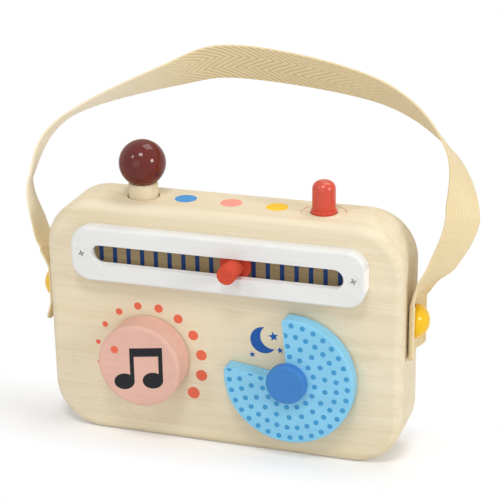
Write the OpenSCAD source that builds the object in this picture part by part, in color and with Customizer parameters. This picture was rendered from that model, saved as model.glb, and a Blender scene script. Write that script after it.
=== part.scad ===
// Wooden toy radio with a sliding tuner, a turning volume knob, a turning weather disc,
// a pull-up antenna, a sprung push button and a webbing carrying strap.
// X runs to the right, Y away from the viewer and Z up. The origin is the middle of the base.

/* [Block] */
// Width of the wooden block
body_w = 200; // [180:1:230]
// Depth of the block, front to back
body_d = 38; // [34:0.5:48]
// Height of the block
body_h = 135; // [128:1:160]
// Radius of the block's corners, seen from the front
corner_r = 27; // [20:0.5:34]
// Rounding of the block's front and back edges
edge_r = 5; // [2:0.5:7]

/* [Tuner plate] */
// Width of the white plate
plate_w = 163.5; // [160:0.5:180]
// Height of the white plate
plate_h = 30.5; // [28:0.5:34]
// Thickness of the plate
plate_t = 8; // [7.5:0.25:10]
// Corner radius of the plate
plate_r = 10.5; // [6:0.5:12.5]
// Rounding of the plate's front edge
plate_round = 1.5; // [0.4:0.1:2]
// Distance from the top of the block down to the plate's middle
plate_drop = 26.5; // [24:0.5:34]
// Length of the slot from end to end
slot_l = 140.5; // [120:0.5:141]
// Thickness of the lip in front of the slider's flange
lip_t = 5; // [3:0.1:5.2]
// Distance between the two plate screws
screw_span = 151; // [150.5:0.5:154]
// Diameter of the screw shank
screw_d = 3; // [2.5:0.1:3.5]
// Diameter of the screw head
screw_head_d = 7; // [5.5:0.1:8]
// Length of the screw
screw_l = 18; // [16:0.5:24]
// Length of the screw's point
screw_point = 2; // [1:0.1:3]
// Wood between each end of the channel and the screw
screw_wall = 2.5; // [2:0.1:4]

/* [Slider] */
// Diameter of the slider's peg
slider_d = 10; // [7:0.1:11]
// Diameter of the flange behind the plate
flange_d = 17; // [14:0.1:18]
// How far the peg stands out in front of the plate
slider_reach = 11; // [8:0.5:20]
// Place of the slider along the slot, from the middle
slider_x = 10; // [-50:1:50]

/* [Volume knob] */
// Height of the knob's middle above the base
knob_z = 49.6; // [46:0.1:51]
// Distance of the knob from the middle of the block
knob_x = 41.6; // [38:0.1:50]
// Diameter of the knob
knob_d = 47.2; // [36:0.2:48]
// Thickness of the knob
knob_t = 16.2; // [13:0.2:20]
// Rounding of the knob's front rim
knob_round = 2; // [0.5:0.1:3]

/* [Weather disc] */
// Distance of the disc from the middle of the block
disc_x = 40.2; // [38:0.1:50]
// Height of the disc's middle above the base
disc_z = 47.8; // [46:0.1:50]
// Diameter of the disc
disc_d = 71.8; // [60:0.2:74]
// Thickness of the disc
disc_t = 8.2; // [6:0.2:12]
// Rounding of the disc's front rim
disc_round = 1; // [0.3:0.1:2]
// Angle where the window begins, counted from the right
window_from = 95; // [90:1:110]
// Angle where the window ends
window_to = 172; // [150:1:180]
// Radius of the window's outer corners
window_corner_r = 3; // [1:0.5:5]
// Diameter of the hub
hub_d = 22; // [17:0.1:26]
// Thickness of the hub
hub_t = 5; // [4:0.1:8]
// Rounding of the hub's rim
hub_round = 1.6; // [0.4:0.1:2]

/* [Axles] */
// Diameter of the wooden axles
axle_d = 10; // [8:0.1:12]
// Diameter of the axle's head
axle_head_d = 17; // [15:0.1:20]
// Thickness of the axle's head
axle_head_t = 5; // [3:0.1:7]
// How far the head lies below the back of the block
head_recess = 1.2; // [0.5:0.1:3]
// How far the axle goes into the knob
knob_seat = 11; // [7:0.5:12]
// How far the axle goes into the hub
hub_seat = 3; // [2:0.1:3]
// Diameter of the felt washers
washer_d = 16; // [15:0.5:24]
// Thickness of the felt washers
washer_t = 0.7; // [0.5:0.1:1.5]

/* [Antenna] */
// Place of the antenna, from the middle of the block
antenna_x = -49; // [-54:0.5:-46]
// Diameter of the antenna's dowel
antenna_d = 16; // [13:0.1:17]
// Diameter of the bore that it slides in
antenna_bore_d = 17.6; // [17.4:0.1:20]
// Rounding of the dowel's top edge
antenna_round = 1; // [0.4:0.1:2]
// Bare dowel to be seen below the ball when it is pushed in
antenna_show = 7.8; // [4:0.2:14]
// How far the antenna pulls up
antenna_travel = 22; // [15:1:26]
// Diameter of the ball
ball_d = 25.6; // [20:0.1:28]
// Diameter of the tenon inside the ball
tenon_d = 9; // [6:0.1:10]
// Length of the tenon
tenon_l = 12; // [6:0.5:14]
// Diameter of the stop pin
stop_d = 5; // [4:0.1:6]
// How deep the stop pin reaches into the dowel's groove
stop_reach = 3; // [2:0.1:4]
// Solid foot of the dowel below its groove
antenna_foot = 7; // [6:0.5:12]
// Wood above the groove's upper end when the antenna is right up
stop_cover = 3; // [2:0.5:6]
// Room below the dowel's foot
antenna_room = 2; // [1:0.5:4]
// Thickness of the rubber grip ring
grip_d = 1.6; // [1.2:0.1:2]

/* [Push button] */
// Place of the button, from the middle of the block
button_x = 52.4; // [46:0.1:56]
// Diameter of the button's stem
button_d = 12.5; // [10:0.1:13]
// Diameter of the barrel that runs in the bushing
barrel_d = 13.8; // [13.4:0.1:16]
// Diameter of the flange that keeps the button in
button_flange_d = 17.5; // [16.8:0.1:19]
// How far the button stands above the block
button_rise = 17.4; // [14:0.2:24]
// Rounding of the button's top
button_round = 4.5; // [2:0.1:5]
// How far the button goes down
button_travel = 10; // [6:0.5:12]
// Diameter of the bushing let into the block
bushing_d = 24; // [22:0.2:28]
// Thickness of the bushing
bushing_t = 8; // [6:0.5:12]
// Width of the step turned round the bushing's top
bushing_rim = 2.2; // [1:0.1:3]
// Depth of that step
bushing_step = 0.4; // [0.2:0.1:1]
// Wire thickness of the spring
wire_d = 1; // [0.8:0.1:1.4]
// Outer diameter of the spring
spring_d = 13; // [12:0.1:14]
// Length of the spring at rest
spring_l = 30; // [26:0.5:34]
// Turns of the spring
spring_turns = 7; // [5:1:9]
// Room between the spring and the spigot inside it
spigot_room = 1; // [0.6:0.1:2]

/* [Strap] */
// Width of the webbing
strap_w = 25; // [20:0.5:28]
// Thickness of the webbing
strap_t = 1.6; // [1.2:0.1:3]
// Height of the strap's pegs above the base
peg_z = 79; // [70:1:90]
// How high the loop stands above the pegs
strap_rise = 117; // [105:1:150]
// How far the loop leans back
strap_lean = 64; // [40:1:80]
// Flat run of the strap above the peg's head
strap_flat = 2; // [1:0.1:4]
// How far the strap's ends hang below the pegs
strap_tail = 19; // [14:0.5:24]
// Diameter of the peg's head
peg_head_d = 18.2; // [15:0.1:20]
// Height of the head's straight rim
peg_rim = 2; // [1:0.1:3]
// Height of the head's dome
peg_dome = 5.5; // [3:0.1:7]
// Diameter of the peg's shank
peg_d = 8; // [6:0.1:10]
// Depth of the peg in the block
peg_seat = 22; // [15:0.5:26]

/* [Clearances] */
// Radial play of an axle in its bore
run_gap = 0.05; // [0.02:0.01:0.1]
// Play of what slides
slide_gap = 0.3; // [0.2:0.05:0.4]
// Play of the slider's peg in its slot
slot_gap = 0.5; // [0.3:0.05:0.8]
// Glue line round what is glued in
glue_gap = 0.05; // [0.02:0.01:0.1]
// Play on each side of the strap, and round its pegs
strap_gap = 0.5; // [0.3:0.05:0.8]

/* [Hidden] */
$fn = 64;
front_y = -body_d / 2;
plate_z = body_h - plate_drop;
slot_h = slider_d + 2 * slot_gap;
channel_t = plate_t - lip_t;
channel_h = flange_d + 2 * slide_gap;
flange_t = channel_t - 2 * slide_gap;
// The channel ends short of the screws, and the flange stops at its ends
channel_l = screw_span - screw_d - 2 * screw_wall;
felt_gap = 0.1;
control_gap = washer_t + felt_gap;
disc_front = control_gap + disc_t;
axle_bore_d = axle_d + 2 * run_gap;
head_bore_d = axle_head_d + 2 * slide_gap;
head_bore_t = head_recess + axle_head_t + slide_gap;
shoulder_z = body_h + antenna_show;
ball_z = shoulder_z + sqrt(pow(ball_d / 2, 2) - pow(antenna_d / 2 - antenna_round, 2));
stop_z = body_h - antenna_travel - stop_d / 2 - stop_cover;
groove_low = stop_z - antenna_travel - stop_d / 2 - slide_gap;
groove_high = stop_z + stop_d / 2 + slide_gap;
antenna_low = groove_low - antenna_foot;
button_seat_z = body_h - bushing_t;
button_flange_t = 3;
button_flange_z = button_seat_z - felt_gap - button_flange_t;
chamber_low = button_flange_z - spring_l;
chamber_d = button_flange_d + 2 * slide_gap;
// The spigot inside the spring meets the chamber's floor when the button is right down
spigot_l = spring_l - button_travel - slide_gap;
barrel_show = 1.8;
disc_back_round = 0.5;
// Angle at which the round of a window corner leaves the edge and the rim
corner_break = 20;
strap_x = body_w / 2 + strap_gap + strap_t / 2;
peg_head_x = body_w / 2 + 2 * strap_gap + strap_t;

wood = "#EBDCBE";
white = "#E6E5E3";
red = "#DC523A";
maroon = "#6E2A24";
pink = "#E8B4A5";
sky = "#87C8EB";
blue = "#4682C3";
yellow = "#FAC323";
cotton = "#E6D4AA";
felt = "#8A8378";
black = "#333333";
steel = "#B8BCC0";

// Route of the strap's middle line: share of the pegs' half distance, share of the lean,
// share of the rise and twist in degrees, from the right end over the top to the left end
strap_loop = [
    [1.02, 0.00, 0.13, -2], [1.07, 0.00, 0.19, -13], [1.14, 0.00, 0.27, -27], [1.22, 0.18, 0.49, -32],
    [1.10, 0.55, 0.72, 17], [0.68, 0.85, 0.92, 46], [-0.12, 0.97, 1.00, 60], [-0.52, 0.83, 0.93, 38],
    [-1.06, 0.48, 0.74, 5], [-1.18, 0.13, 0.50, -19], [-1.12, 0.05, 0.27, -10], [-1.06, 0.02, 0.18, -14],
    [-1.02, 0.00, 0.14, -8]
];
strap_steps = 10;

// Turns a piece that was built up along Z so that it stands out of the front at x, z
module on_front(x, z, out = 0) {
    translate([x, front_y - out, z]) rotate([90, 0, 0]) children();
}

// Half section of a slab: reach outward, thickness upward, with its outer corners rounded
module rim_profile(reach, thick, front_r, back_r) {
    difference() {
        square([reach, thick]);
        if (front_r > 0) translate([reach - front_r, thick - front_r]) square(2 * front_r);
        if (back_r > 0) translate([reach - back_r, -back_r]) square(2 * back_r);
    }
    intersection() {
        square([reach, thick]);
        union() {
            if (front_r > 0) translate([reach - front_r, thick - front_r]) circle(front_r);
            if (back_r > 0) translate([reach - back_r, back_r]) circle(back_r);
        }
    }
}

// Round disc with rounded rims
module soft_disc(d, thick, front_r, back_r = 0) {
    rotate_extrude() rim_profile(d / 2, thick, front_r, back_r);
}

// Rectangular slab with round corners and rounded rims
module soft_slab(w, h, thick, corner, front_r, back_r = 0) {
    in_w = w - 2 * corner;
    in_h = h - 2 * corner;
    translate([-in_w / 2, -in_h / 2, 0]) cube([in_w, in_h, thick]);
    for (turn = [0:3]) {
        across = turn % 2 == 0 ? in_w : in_h;
        along = turn % 2 == 0 ? in_h : in_w;
        rotate(90 * turn) translate([across / 2, along / 2, 0]) {
            rotate_extrude(angle = 90) rim_profile(corner, thick, front_r, back_r);
            rotate([90, 0, 0]) linear_extrude(along) rim_profile(corner, thick, front_r, back_r);
        }
    }
}

// Slot with round ends, from end to end
module stadium(l, h, thick) {
    translate([-(l - h) / 2, -h / 2, 0]) cube([l - h, h, thick]);
    for (side = [-1, 1]) translate([side * (l - h) / 2, 0, 0]) cylinder(d = h, h = thick);
}

// Skin over a row of rings of points, closed at both ends
module swept(rings) {
    count = len(rings);
    sides = len(rings[0]);
    last = (count - 1) * sides;
    walls = [
        for (i = [0:count - 2], j = [0:sides - 1])
            let (a = i * sides + j, b = i * sides + (j + 1) % sides)
                each [[a, b + sides, b], [a, a + sides, b + sides]]
    ];
    caps = [for (j = [1:sides - 2]) each [[0, j, j + 1], [last, last + j + 1, last + j]]];
    polyhedron([for (ring = rings) each ring], concat(walls, caps));
}

// Wooden block with all its bores
module body_block() {
    color(wood) difference() {
        translate([0, body_d / 2, body_h / 2]) rotate([90, 0, 0])
            soft_slab(body_w, body_h, body_d, corner_r, edge_r, edge_r);
        // antenna bore, and the bore of its stop pin from the back
        translate([antenna_x, 0, antenna_low - antenna_room]) cylinder(d = antenna_bore_d, h = body_h);
        translate([antenna_x, body_d / 2 + 1, stop_z]) rotate([90, 0, 0])
            cylinder(d = stop_d + 2 * glue_gap, h = body_d / 2 + 1);
        // seat of the bushing, and the spring's chamber below it
        translate([button_x, 0, button_seat_z - glue_gap])
            cylinder(d = bushing_d + 2 * glue_gap, h = bushing_t + 1);
        translate([button_x, 0, chamber_low]) cylinder(d = chamber_d, h = button_seat_z - chamber_low);
        // axle bores, counterbored at the back
        for (place = [[-knob_x, knob_z], [disc_x, disc_z]]) {
            translate([place[0], body_d, place[1]]) rotate([90, 0, 0]) cylinder(d = axle_bore_d, h = 2 * body_d);
            translate([place[0], body_d / 2 + 1, place[1]]) rotate([90, 0, 0])
                cylinder(d = head_bore_d, h = head_bore_t + 1);
        }
        // blind bores of the strap's pegs
        for (side = [-1, 1]) translate([side * body_w / 2, 0, peg_z]) rotate([0, side * 90, 0])
            translate([0, 0, -peg_seat - 1]) cylinder(d = peg_d + 2 * glue_gap, h = peg_seat + 2);
        // pilot holes of the plate's screws
        for (side = [-1, 1]) translate([side * screw_span / 2, front_y - 1, plate_z]) rotate([-90, 0, 0])
            cylinder(d = screw_d + 2 * glue_gap, h = screw_l - plate_t + 2);
    }
}

// White plate with its slot, the channel behind the lip and two countersunk holes
module dial_plate() {
    color(white) on_front(0, plate_z) difference() {
        soft_slab(plate_w, plate_h, plate_t, plate_r, plate_round);
        translate([0, 0, -1]) stadium(slot_l, slot_h, plate_t + 2);
        translate([0, 0, -1]) stadium(channel_l, channel_h, channel_t + 1);
        for (side = [-1, 1]) translate([side * screw_span / 2, 0, 0]) {
            translate([0, 0, -1]) cylinder(d = screw_d + 2 * slide_gap, h = plate_t + 2);
            translate([0, 0, plate_t - screw_head_d / 2])
                cylinder(d1 = 0, d2 = screw_head_d + 2 * glue_gap, h = screw_head_d / 2 + glue_gap);
        }
    }
}

// Two countersunk cross-head screws
module dial_plate_screws() {
    color(white) for (side = [-1, 1]) on_front(side * screw_span / 2, plate_z, plate_t) difference() {
        union() {
            translate([0, 0, -screw_head_d / 2]) cylinder(d1 = 0, d2 = screw_head_d, h = screw_head_d / 2);
            translate([0, 0, screw_point - screw_l]) cylinder(d = screw_d, h = screw_l - screw_point - 1);
            translate([0, 0, -screw_l]) cylinder(d1 = 0.4, d2 = screw_d, h = screw_point);
        }
        for (turn = [0, 90]) rotate(turn + 20) translate([-screw_head_d / 4, -0.5, -1.2])
            cube([screw_head_d / 2, 1, 2]);
    }
}

// Turned peg of the tuner, with the flange that runs in the channel
module slider_peg() {
    color(red) on_front(slider_x, plate_z, slide_gap) {
        soft_disc(flange_d, flange_t, 0.4, 0.4);
        soft_disc(slider_d, plate_t - slide_gap + slider_reach, 1.2);
    }
}

// Headed axle: the head lies in the back of the block, the tip stands out of the front
module axle(tip) {
    head_z = head_bore_t - slide_gap - body_d;
    cylinder_l = tip - head_z;
    translate([0, 0, head_z]) cylinder(d = axle_d, h = cylinder_l);
    translate([0, 0, head_z - axle_head_t]) soft_disc(axle_head_d, axle_head_t, 0.5, 1);
}

// Felt washer between the block and what turns
module washer() {
    translate([0, 0, felt_gap]) difference() {
        cylinder(d = washer_d, h = washer_t);
        translate([0, 0, -1]) cylinder(d = axle_d + 2 * slide_gap, h = washer_t + 2);
    }
}

// Thick knob, blind bored for its axle
module volume_knob() {
    color(pink) on_front(-knob_x, knob_z, control_gap) difference() {
        soft_disc(knob_d, knob_t, knob_round, 0.8);
        translate([0, 0, -1]) cylinder(d = axle_d, h = knob_seat + 1);
    }
}

module volume_axle() {
    color(wood) on_front(-knob_x, knob_z) axle(control_gap + knob_seat);
}

module volume_washer() {
    color(felt) on_front(-knob_x, knob_z) washer();
}

// Outline of the window: a sector, and what is taken off to round the two corners at the rim
module window_2d() {
    rim = disc_d / 2;
    off = window_corner_r * cos(corner_break);
    middle = [sqrt(pow(rim - off, 2) - off * off), off];
    polygon([[0, 0], for (a = [window_from, (window_from + window_to) / 2, window_to]) disc_d * [cos(a), sin(a)]]);
    for (side = [0, 1]) rotate(side > 0 ? window_to : window_from) mirror([0, 1 - side]) difference() {
        polygon([middle, [middle[0], -rim], [disc_d, -rim], 2 * middle]);
        translate(middle) circle(window_corner_r);
    }
}

// Disc with its window
module weather_disc() {
    color(sky) on_front(disc_x, disc_z, control_gap) difference() {
        soft_disc(disc_d, disc_t, disc_round, disc_back_round);
        translate([0, 0, -1]) linear_extrude(disc_t + 2) window_2d();
        translate([0, 0, -1]) cylinder(d = axle_d, h = disc_t + 2);
    }
}

// Hub on the disc, blind bored for the axle
module weather_hub() {
    color(blue) on_front(disc_x, disc_z, disc_front) difference() {
        soft_disc(hub_d, hub_t, hub_round);
        translate([0, 0, -1]) cylinder(d = axle_d, h = hub_seat + 1);
    }
}

module weather_axle() {
    color(wood) on_front(disc_x, disc_z) axle(disc_front + hub_seat);
}

module weather_washer() {
    color(felt) on_front(disc_x, disc_z) washer();
}

// Dowel with a tenon for the ball, a groove for the stop pin and a seat for the grip ring
module antenna_dowel() {
    ring_z = antenna_low + antenna_foot / 2;
    color(wood) translate([antenna_x, 0, 0]) difference() {
        union() {
            translate([0, 0, antenna_low]) soft_disc(antenna_d, shoulder_z - antenna_low, antenna_round);
            translate([0, 0, shoulder_z - 1]) cylinder(d = tenon_d, h = tenon_l + 1);
        }
        translate([-stop_d / 2 - slide_gap, antenna_d / 2 - stop_reach - slide_gap, groove_low])
            cube([stop_d + 2 * slide_gap, antenna_d, groove_high - groove_low]);
        translate([0, 0, ring_z - grip_d / 2]) difference() {
            cylinder(d = antenna_d + 2, h = grip_d);
            translate([0, 0, -1]) cylinder(d = antenna_bore_d - 2 * run_gap - 2 * grip_d, h = grip_d + 2);
        }
    }
}

// Ball with a flat seat and a blind bore for the tenon
module antenna_ball() {
    color(maroon) translate([antenna_x, 0, 0]) difference() {
        translate([0, 0, ball_z]) sphere(d = ball_d);
        translate([-ball_d, -ball_d, shoulder_z - ball_d]) cube([2 * ball_d, 2 * ball_d, ball_d]);
        translate([0, 0, shoulder_z - 1]) cylinder(d = tenon_d, h = tenon_l + 1.5);
    }
}

// Pin in the back of the block, with its tip in the dowel's groove
module antenna_stop_pin() {
    reach = body_d / 2 - antenna_d / 2 + stop_reach;
    color(wood) translate([antenna_x, body_d / 2, stop_z]) rotate([90, 0, 0]) cylinder(d = stop_d, h = reach);
}

// Rubber ring round the dowel's foot
module antenna_grip_ring() {
    color(black) translate([antenna_x, 0, antenna_low + antenna_foot / 2]) rotate_extrude()
        translate([antenna_bore_d / 2 - run_gap - grip_d / 2, 0]) circle(d = grip_d);
}

// Domed button: stem, barrel, flange and the spigot that centres the spring
module push_button() {
    spigot_d = spring_d - 2 * wire_d - 2 * spigot_room;
    color(red) translate([button_x, 0, 0]) {
        translate([0, 0, body_h]) soft_disc(button_d, button_rise, button_round);
        translate([0, 0, button_flange_z]) soft_disc(barrel_d, body_h + barrel_show - button_flange_z, 0.4);
        translate([0, 0, button_flange_z]) soft_disc(button_flange_d, button_flange_t, 0.3, 0.3);
        translate([0, 0, button_flange_z - spigot_l]) cylinder(d1 = spigot_d - 1, d2 = spigot_d, h = spigot_l + 1);
    }
}

// Ring let into the top of the block, flush with it but for a step round its edge
module button_bushing() {
    color(wood) translate([button_x, 0, button_seat_z]) difference() {
        cylinder(d = bushing_d, h = bushing_t);
        translate([0, 0, -1]) cylinder(d = barrel_d + 2 * slide_gap, h = bushing_t + 2);
        translate([0, 0, bushing_t - bushing_step]) difference() {
            cylinder(d = bushing_d + 2, h = 2 * bushing_step);
            translate([0, 0, -1]) cylinder(d = bushing_d - 2 * bushing_rim, h = 2 * bushing_step + 2);
        }
    }
}

// Compression spring between the chamber's floor and the flange
module button_spring() {
    coil_r = (spring_d - wire_d) / 2;
    low = chamber_low + wire_d / 2 + felt_gap;
    high = button_flange_z - wire_d / 2 - felt_gap;
    steps = 12 * spring_turns;
    rings = [
        for (i = [0:steps])
            let (a = 30 * i, z = low + (high - low) * i / steps)
                [for (j = [0:5]) let (r = coil_r + wire_d / 2 * cos(60 * j))
                    [r * cos(a), r * sin(a), z + wire_d / 2 * sin(60 * j)]]
    ];
    color(steel) translate([button_x, 0, 0]) swept(rings);
}

// Smooth curve through four points, and its direction
function curve(a, b, c, d, t) =
    0.5 * (2 * b + (c - a) * t + (2 * a - 5 * b + 4 * c - d) * t * t + (3 * b - a - 3 * c + d) * t * t * t);
function heading(a, b, c, d, t) =
    0.5 * (c - a + 2 * (2 * a - 5 * b + 4 * c - d) * t + 3 * (3 * b - a - 3 * c + d) * t * t);
function xyz(p) = [p[0], p[1], p[2]];
function unit(v) = v / norm(v);

// Cross-section of the webbing at one place of its route
function webbing(place, along) =
    let (
        t = unit(along),
        level = unit([0, 1, 0] - t[1] * t),
        wide = cos(place[3]) * level + sin(place[3]) * cross(t, level),
        out = cross(wide, t)
    )
    [for (corner = [[-1, -1], [-1, 1], [1, 1], [1, -1]])
        xyz(place) + corner[0] * strap_w / 2 * wide + corner[1] * strap_t / 2 * out];

// Webbing strap, flat at its pegs and twisted over the top, with a hole at each peg
module strap() {
    hold = peg_head_d / 2 + strap_flat;
    ends = [for (up = [-strap_tail, 0, hold]) [strap_x + (up > 0 ? strap_gap / 2 : 0), 0, peg_z + up, 0]];
    loop = [for (p = strap_loop) [p[0] * strap_x, p[1] * strap_lean, peg_z + p[2] * strap_rise, p[3]]];
    far = [for (i = [2:-1:0]) [-ends[i][0], 0, ends[i][2], 0]];
    inner = concat(ends, loop, far);
    last = len(inner) - 1;
    route = concat([2 * inner[0] - inner[1]], inner, [2 * inner[last] - inner[last - 1]]);
    rings = [
        for (i = [1:len(route) - 3], k = [0:strap_steps - (i < len(route) - 3 ? 1 : 0)])
            let (a = route[i - 1], b = route[i], c = route[i + 1], d = route[i + 2], t = k / strap_steps)
                webbing(curve(a, b, c, d, t), xyz(heading(a, b, c, d, t)))
    ];
    color(cotton) difference() {
        swept(rings);
        for (side = [-1, 1]) translate([side * (strap_x - strap_t), 0, peg_z]) rotate([0, side * 90, 0])
            cylinder(d = peg_d + 2 * strap_gap, h = 2 * strap_t);
    }
}

// Domed peg glued into the side of the block, side is -1 at the left and 1 at the right
module strap_button(side) {
    dome_r = (pow(peg_head_d / 2, 2) + peg_dome * peg_dome) / (2 * peg_dome);
    color(yellow) translate([side * peg_head_x, 0, peg_z]) rotate([0, side * 90, 0]) {
        translate([0, 0, -peg_seat - peg_head_x + body_w / 2])
            cylinder(d = peg_d, h = peg_seat + peg_head_x - body_w / 2 + 1);
        rotate_extrude() intersection() {
            union() {
                square([peg_head_d / 2, peg_rim]);
                translate([0, peg_rim + peg_dome - dome_r]) circle(dome_r);
            }
            square([peg_head_d / 2, peg_rim + peg_dome]);
        }
    }
}

module strap_button_left() { strap_button(-1); }
module strap_button_right() { strap_button(1); }

body_block();
dial_plate();
dial_plate_screws();
slider_peg();
volume_knob();
volume_axle();
volume_washer();
weather_disc();
weather_hub();
weather_axle();
weather_washer();
antenna_dowel();
antenna_ball();
antenna_stop_pin();
antenna_grip_ring();
push_button();
button_bushing();
button_spring();
strap();
strap_button_left();
strap_button_right();
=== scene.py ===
import math

import bmesh
import bpy
from mathutils import Matrix, Vector


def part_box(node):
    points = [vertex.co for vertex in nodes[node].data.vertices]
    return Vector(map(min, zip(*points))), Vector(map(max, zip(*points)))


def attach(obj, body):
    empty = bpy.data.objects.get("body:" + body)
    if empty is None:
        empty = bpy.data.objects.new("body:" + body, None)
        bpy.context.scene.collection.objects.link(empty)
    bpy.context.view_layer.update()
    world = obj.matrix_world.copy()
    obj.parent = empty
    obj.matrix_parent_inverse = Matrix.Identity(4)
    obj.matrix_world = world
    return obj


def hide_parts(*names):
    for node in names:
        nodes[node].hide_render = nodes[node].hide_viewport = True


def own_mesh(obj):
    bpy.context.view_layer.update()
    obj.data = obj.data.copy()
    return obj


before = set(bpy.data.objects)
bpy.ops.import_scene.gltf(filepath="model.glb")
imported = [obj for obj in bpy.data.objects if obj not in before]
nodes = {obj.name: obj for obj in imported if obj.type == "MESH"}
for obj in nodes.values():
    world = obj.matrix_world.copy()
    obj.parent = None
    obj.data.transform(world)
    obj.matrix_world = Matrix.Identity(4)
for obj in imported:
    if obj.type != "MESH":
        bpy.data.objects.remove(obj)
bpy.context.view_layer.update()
mm = 0.001
tiny = 1e-7   # a length that counts as none
scene = bpy.context.scene
print("frame loaded:", len(nodes), "nodes")


# Shared helpers

mixSockets = {"first": 6, "second": 7, "result": 2}   # a Mix node's sockets for colours


def tint(red, green, blue):
    # screen colour, 0 to 255, to the linear colour that the shader takes
    def linear(level):
        level = level / 255
        return level / 12.92 if level <= 0.04045 else ((level + 0.055) / 1.055) ** 2.4
    return (linear(red), linear(green), linear(blue), 1)


def newFinish(name):
    finish = bpy.data.materials.new(name)
    finish.use_nodes = True
    return finish, finish.node_tree, finish.node_tree.nodes["Principled BSDF"]


def addNode(tree, kind, inputs=None, **settings):
    node = tree.nodes.new(kind)
    for key, value in settings.items():
        setattr(node, key, value)
    for key, value in (inputs or {}).items():
        node.inputs[key].default_value = value
    return node


def mathNode(tree, operation, first, second=None):
    node = addNode(tree, "ShaderNodeMath", operation=operation)
    for socket, value in zip(node.inputs, (first, second)):
        if value is None:
            continue
        if isinstance(value, (int, float)):
            socket.default_value = value
        else:
            tree.links.new(value, socket)
    return node.outputs[0]


def objectNoise(tree, scale, detail, roughness, turn=(0, 0, 0)):
    # noise on the piece's own coordinates, with its features drawn out by an uneven scale
    coords = addNode(tree, "ShaderNodeTexCoord")
    place = addNode(tree, "ShaderNodeMapping", {"Scale": scale, "Rotation": turn})
    noise = addNode(tree, "ShaderNodeTexNoise", {"Scale": 1.0, "Detail": detail, "Roughness": roughness})
    tree.links.new(coords.outputs["Object"], place.inputs["Vector"])
    tree.links.new(place.outputs["Vector"], noise.inputs["Vector"])
    return noise.outputs["Fac"]


def spread(tree, value, low, high, fromLow=0.3, fromHigh=0.7):
    # from the span that a noise mostly keeps to, unless another is given
    node = addNode(tree, "ShaderNodeMapRange",
                   {"From Min": fromLow, "From Max": fromHigh, "To Min": low, "To Max": high})
    tree.links.new(value, node.inputs["Value"])
    return node.outputs["Result"]


def mixColours(tree, amount, first, second):
    node = addNode(tree, "ShaderNodeMix", data_type="RGBA")
    tree.links.new(amount, node.inputs["Factor"])
    for key, colour in (("first", first), ("second", second)):
        socket = node.inputs[mixSockets[key]]
        if isinstance(colour, tuple):
            socket.default_value = colour
        else:
            tree.links.new(colour, socket)
    return node.outputs[mixSockets["result"]]


def addBump(tree, shader, height, strength, distance):
    bump = addNode(tree, "ShaderNodeBump", {"Strength": strength, "Distance": distance})
    tree.links.new(height, bump.inputs["Height"])
    tree.links.new(bump.outputs["Normal"], shader.inputs["Normal"])


def showPiece(name, bm, finish, body, smoothAngle=32):
    mesh = bpy.data.meshes.new(name)
    bm.to_mesh(mesh)
    bm.free()
    mesh.polygons.foreach_set("use_smooth", [True] * len(mesh.polygons))
    mesh.set_sharp_from_angle(angle=math.radians(smoothAngle))
    mesh.materials.append(finish)
    piece = bpy.data.objects.new(name, mesh)
    scene.collection.objects.link(piece)
    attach(piece, body)
    return piece


# Wood

bareWood = {
    "light": (242, 231, 206), "dark": (220, 200, 161),
    "ringGap": 6.5 * mm, "ringDepth": 0.16, "lateWood": 4.0,
    "warp": 4.0, "warpDetail": 3.0, "warpScale": 0.35, "warpRough": 0.6,
    # the rings' axis leans a little, so that the front cuts them into long flat arches
    "heart": (-60 * mm, 14 * mm, 66 * mm), "lean": 0.13,
    # each grain's noise: scale along and across the wood, detail and roughness
    # its tone: least and most darkening
    "fibre": ((22, 900, 900), 4.0, 0.6), "fibreTone": (-0.04, 0.22),
    "streaks": ((9, 160, 160), 3.0, 0.55), "streaksTone": (-0.02, 0.3),
    "patches": ((7, 30, 30), 2.0, 0.5), "patchesTone": (0.0, 0.25),
    "pores": ((190, 2300, 2300), 2.0, 0.5), "poresTone": (0.0, 0.6, 0.64, 0.76),   # only at the noise's peaks
    "rough": (0.55, 0.7), "shine": 0.12, "bump": (0.12, 0.1 * mm),
}


def woodFinish(name, settings, turn=(0, 0, 0)):
    finish, tree, shader = newFinish(name)
    coords = addNode(tree, "ShaderNodeTexCoord")
    turned = addNode(tree, "ShaderNodeMapping", {"Location": settings["heart"], "Rotation": turn},
                     vector_type="TEXTURE")
    leaned = addNode(tree, "ShaderNodeMapping", {"Scale": (settings["lean"], 1, 1)})
    perUnit = 20   # radians of wave to a unit of length
    rings = addNode(
        tree, "ShaderNodeTexWave",
        {"Scale": 2 * math.pi / perUnit / settings["ringGap"], "Distortion": settings["warp"],
         "Detail": settings["warpDetail"], "Detail Scale": settings["warpScale"],
         "Detail Roughness": settings["warpRough"]},
        wave_type="RINGS", rings_direction="SPHERICAL", wave_profile="SAW")
    tree.links.new(coords.outputs["Object"], turned.inputs["Vector"])
    tree.links.new(turned.outputs["Vector"], leaned.inputs["Vector"])
    tree.links.new(leaned.outputs["Vector"], rings.inputs["Vector"])
    lateWood = mathNode(tree, "POWER", rings.outputs["Fac"], settings["lateWood"])
    amount = mathNode(tree, "MULTIPLY", lateWood, settings["ringDepth"])
    grains = {}
    for grain in ("fibre", "streaks", "patches", "pores"):
        grains[grain] = objectNoise(tree, *settings[grain], turn)
        amount = mathNode(tree, "ADD", amount, spread(tree, grains[grain], *settings[grain + "Tone"]))
    colour = mixColours(tree, amount, tint(*settings["light"]), tint(*settings["dark"]))
    tree.links.new(colour, shader.inputs["Base Color"])
    tree.links.new(spread(tree, grains["fibre"], *settings["rough"]), shader.inputs["Roughness"])
    shader.inputs["Specular IOR Level"].default_value = settings["shine"]
    addBump(tree, shader, grains["fibre"], *settings["bump"])
    return finish


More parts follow.
